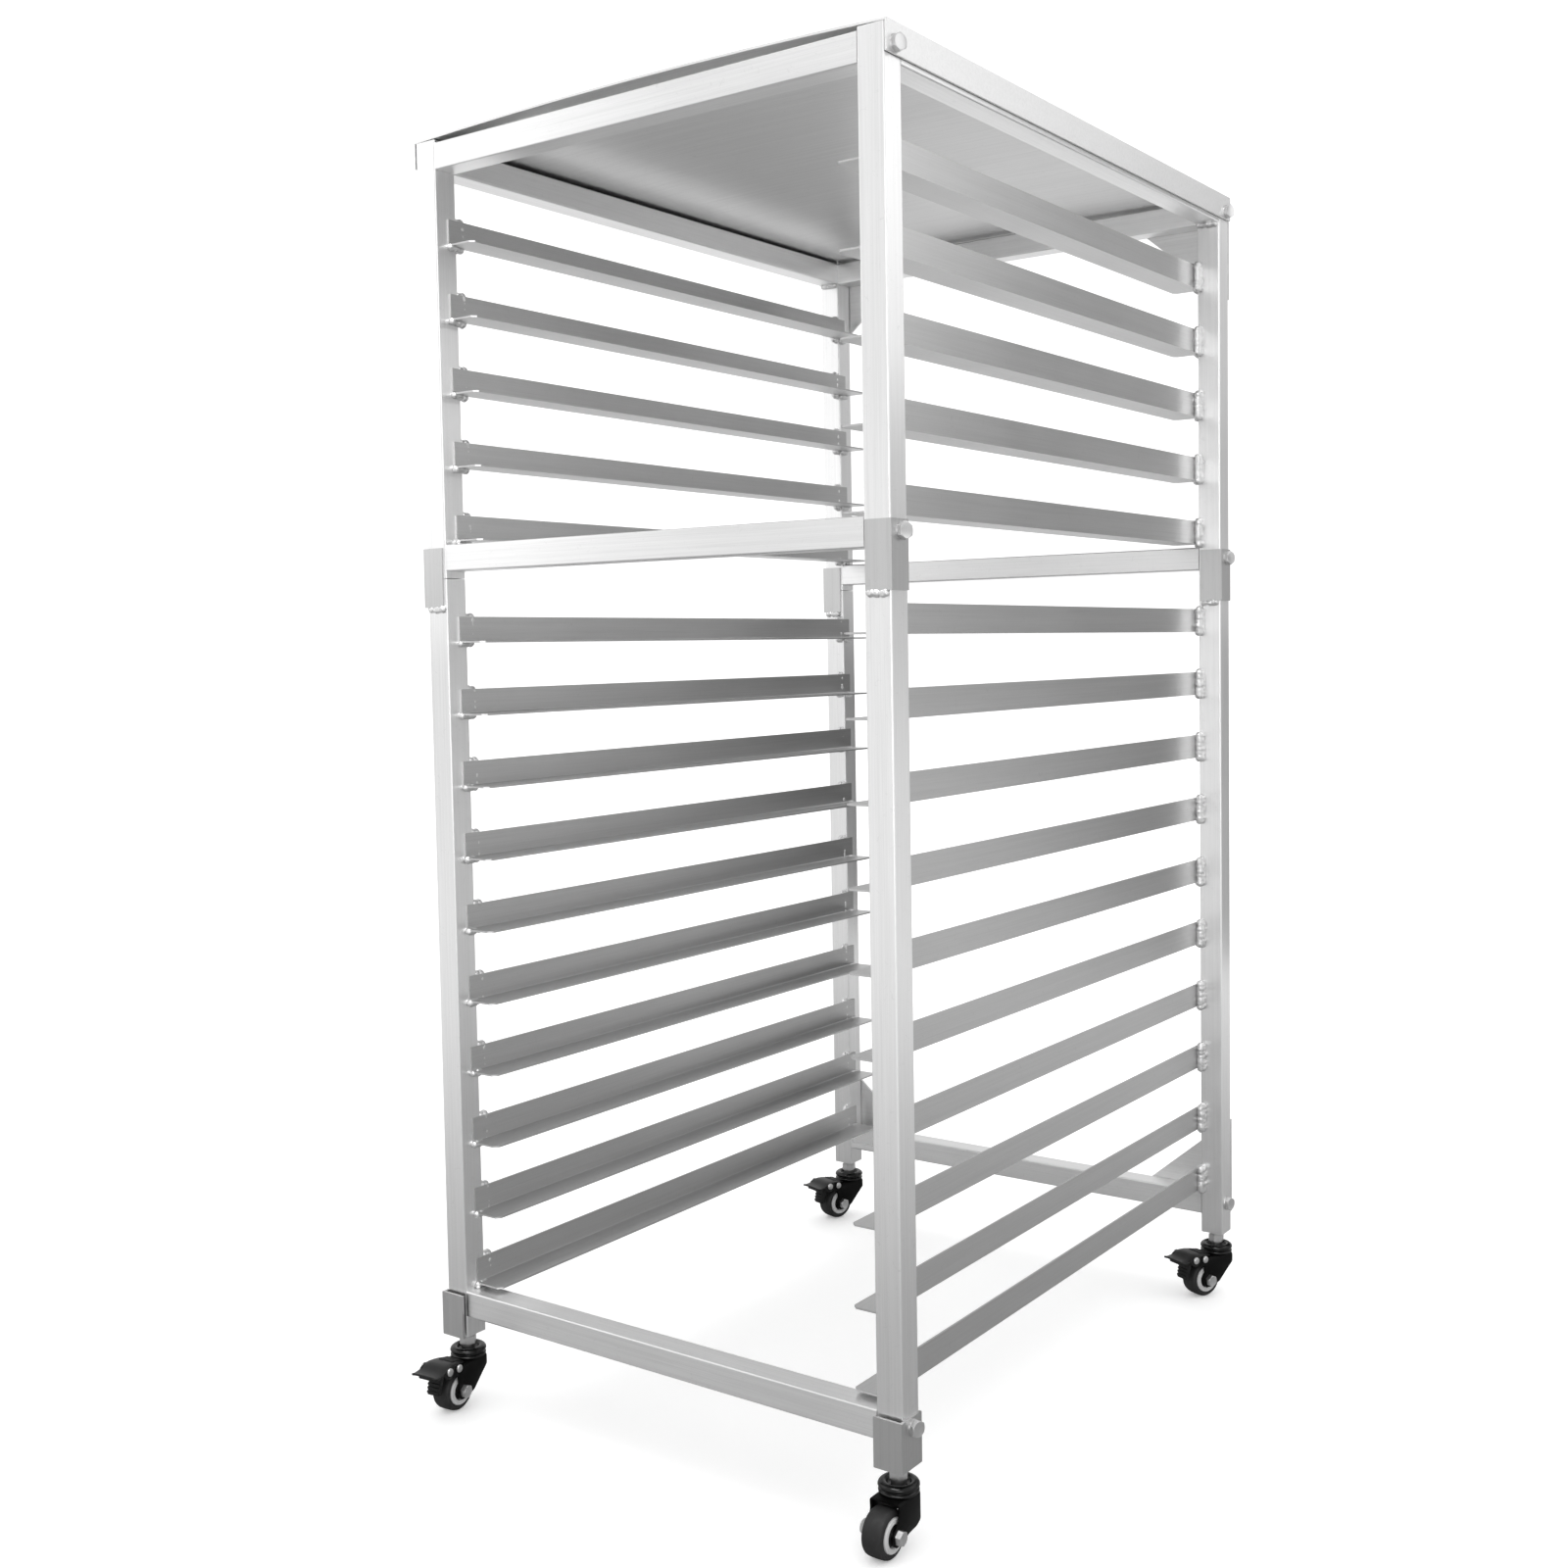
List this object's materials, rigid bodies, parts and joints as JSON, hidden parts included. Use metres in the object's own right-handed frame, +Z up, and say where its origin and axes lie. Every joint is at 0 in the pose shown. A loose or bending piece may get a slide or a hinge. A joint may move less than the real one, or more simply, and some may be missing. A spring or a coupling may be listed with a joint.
{
  "type": "sheet pan rack",
  "caption": "Open aluminium rack with angle slides that hold full size sheet pans, on swivel casters with foot brakes.",
  "frame": {"origin": "on the floor, in the middle of the whole object's footprint box at rest", "axes": "+Z up, open loading front towards -Y, +X to the right when facing the front"},
  "size_m": [0.551, 0.753, 1.217],
  "materials": {
    "tube_aluminium": "satin mill finish with fine lengthwise extrusion lines",
    "slide_aluminium": "satin mill finish with fine lengthwise extrusion lines",
    "sheet_aluminium": "rolled satin sheet",
    "angle_aluminium": "satin, sawn ends",
    "zinc_steel": "bright zinc plate",
    "black_steel": "semi-gloss black",
    "grey_plastic": "satin moulded plastic",
    "black_tread": "satin rubber"
  },
  "bodies": {
    "root": {"lower_post_front_left": "tube_aluminium", "upper_post_front_left": "tube_aluminium", "lower_post_front_right": "tube_aluminium", "upper_post_front_right": "tube_aluminium", "lower_post_rear_right": "tube_aluminium", "upper_post_rear_right": "tube_aluminium", "lower_post_rear_left": "tube_aluminium", "upper_post_rear_left": "tube_aluminium", "front_bottom_bar": "tube_aluminium", "rear_bottom_bar": "tube_aluminium", "front_middle_bar": "tube_aluminium", "rear_middle_bar": "tube_aluminium", "front_top_bar": "tube_aluminium", "rear_top_bar": "tube_aluminium", "top_side_tube_left": "tube_aluminium", "top_side_tube_right": "tube_aluminium", "top_cover": "sheet_aluminium", "splice_angles": "angle_aluminium", "front_foot_angles": "angle_aluminium", "rear_gussets": "sheet_aluminium", "pan_slides_tier_01": "slide_aluminium", "pan_slides_tier_02": "slide_aluminium", "pan_slides_tier_03": "slide_aluminium", "pan_slides_tier_04": "slide_aluminium", "pan_slides_tier_05": "slide_aluminium", "pan_slides_tier_06": "slide_aluminium", "pan_slides_tier_07": "slide_aluminium", "pan_slides_tier_08": "slide_aluminium", "pan_slides_tier_09": "slide_aluminium", "pan_slides_tier_10": "slide_aluminium", "pan_slides_tier_11": "slide_aluminium", "pan_slides_tier_12": "slide_aluminium", "pan_slides_tier_13": "slide_aluminium", "pan_slides_tier_14": "slide_aluminium", "pan_slides_tier_15": "slide_aluminium", "frame_bolts": "zinc_steel", "frame_washers": "zinc_steel", "bar_end_inserts": "zinc_steel", "caster_stem_plugs": "zinc_steel", "caster_stems": "zinc_steel"},
    "swivel_front_left": {"caster_fork_front_left": "black_steel", "caster_axle_front_left": "zinc_steel"},
    "wheel_front_left": {"caster_rim_front_left": "grey_plastic", "caster_tread_front_left": "black_tread"},
    "pedal_front_left": {"brake_pedal_front_left": "black_steel"},
    "swivel_front_right": {"caster_fork_front_right": "black_steel", "caster_axle_front_right": "zinc_steel"},
    "wheel_front_right": {"caster_rim_front_right": "grey_plastic", "caster_tread_front_right": "black_tread"},
    "swivel_rear_right": {"caster_fork_rear_right": "black_steel", "caster_axle_rear_right": "zinc_steel"},
    "wheel_rear_right": {"caster_rim_rear_right": "grey_plastic", "caster_tread_rear_right": "black_tread"},
    "pedal_rear_right": {"brake_pedal_rear_right": "black_steel"},
    "swivel_rear_left": {"caster_fork_rear_left": "black_steel", "caster_axle_rear_left": "zinc_steel"},
    "wheel_rear_left": {"caster_rim_rear_left": "grey_plastic", "caster_tread_rear_left": "black_tread"},
    "pedal_rear_left": {"brake_pedal_rear_left": "black_steel"}
  },
  "joints": [
    {"name": "swivel_front_left", "type": "hinge", "parent": "root", "child": "swivel_front_left", "pos_m": [-0.24383, -0.3112, 0.045], "axis": [0, 0, 1], "continuous": true},
    {"name": "roll_front_left", "type": "hinge", "parent": "swivel_front_left", "child": "wheel_front_left", "pos_m": [-0.24139, -0.33478, 0.02], "axis": [0.9947, 0.1028, 0], "continuous": true},
    {"name": "brake_front_left", "type": "hinge", "parent": "swivel_front_left", "child": "pedal_front_left", "pos_m": [-0.23917, -0.35626, 0.0463], "axis": [0.9947, 0.1028, 0], "range_deg": [0, 6]},
    {"name": "swivel_front_right", "type": "hinge", "parent": "root", "child": "swivel_front_right", "pos_m": [0.25417, -0.3112, 0.045], "axis": [0, 0, 1], "continuous": true},
    {"name": "roll_front_right", "type": "hinge", "parent": "swivel_front_right", "child": "wheel_front_right", "pos_m": [0.25413, -0.3349, 0.02], "axis": [1, -0.0017, 0], "continuous": true},
    {"name": "swivel_rear_right", "type": "hinge", "parent": "root", "child": "swivel_rear_right", "pos_m": [0.25417, 0.3578, 0.045], "axis": [0, 0, 1], "continuous": true},
    {"name": "roll_rear_right", "type": "hinge", "parent": "swivel_rear_right", "child": "wheel_rear_right", "pos_m": [0.2446, 0.33611, 0.02], "axis": [0.915, -0.4035, 0], "continuous": true},
    {"name": "brake_rear_right", "type": "hinge", "parent": "swivel_rear_right", "child": "pedal_rear_right", "pos_m": [0.23589, 0.31635, 0.0463], "axis": [0.915, -0.4035, 0], "range_deg": [0, 6]},
    {"name": "swivel_rear_left", "type": "hinge", "parent": "root", "child": "swivel_rear_left", "pos_m": [-0.24383, 0.3578, 0.045], "axis": [0, 0, 1], "continuous": true},
    {"name": "roll_rear_left", "type": "hinge", "parent": "swivel_rear_left", "child": "wheel_rear_left", "pos_m": [-0.25, 0.33492, 0.02], "axis": [0.9655, -0.2605, 0], "continuous": true},
    {"name": "brake_rear_left", "type": "hinge", "parent": "swivel_rear_left", "child": "pedal_rear_left", "pos_m": [-0.25563, 0.31406, 0.0463], "axis": [0.9655, -0.2605, 0], "range_deg": [0, 6]}
  ]
}
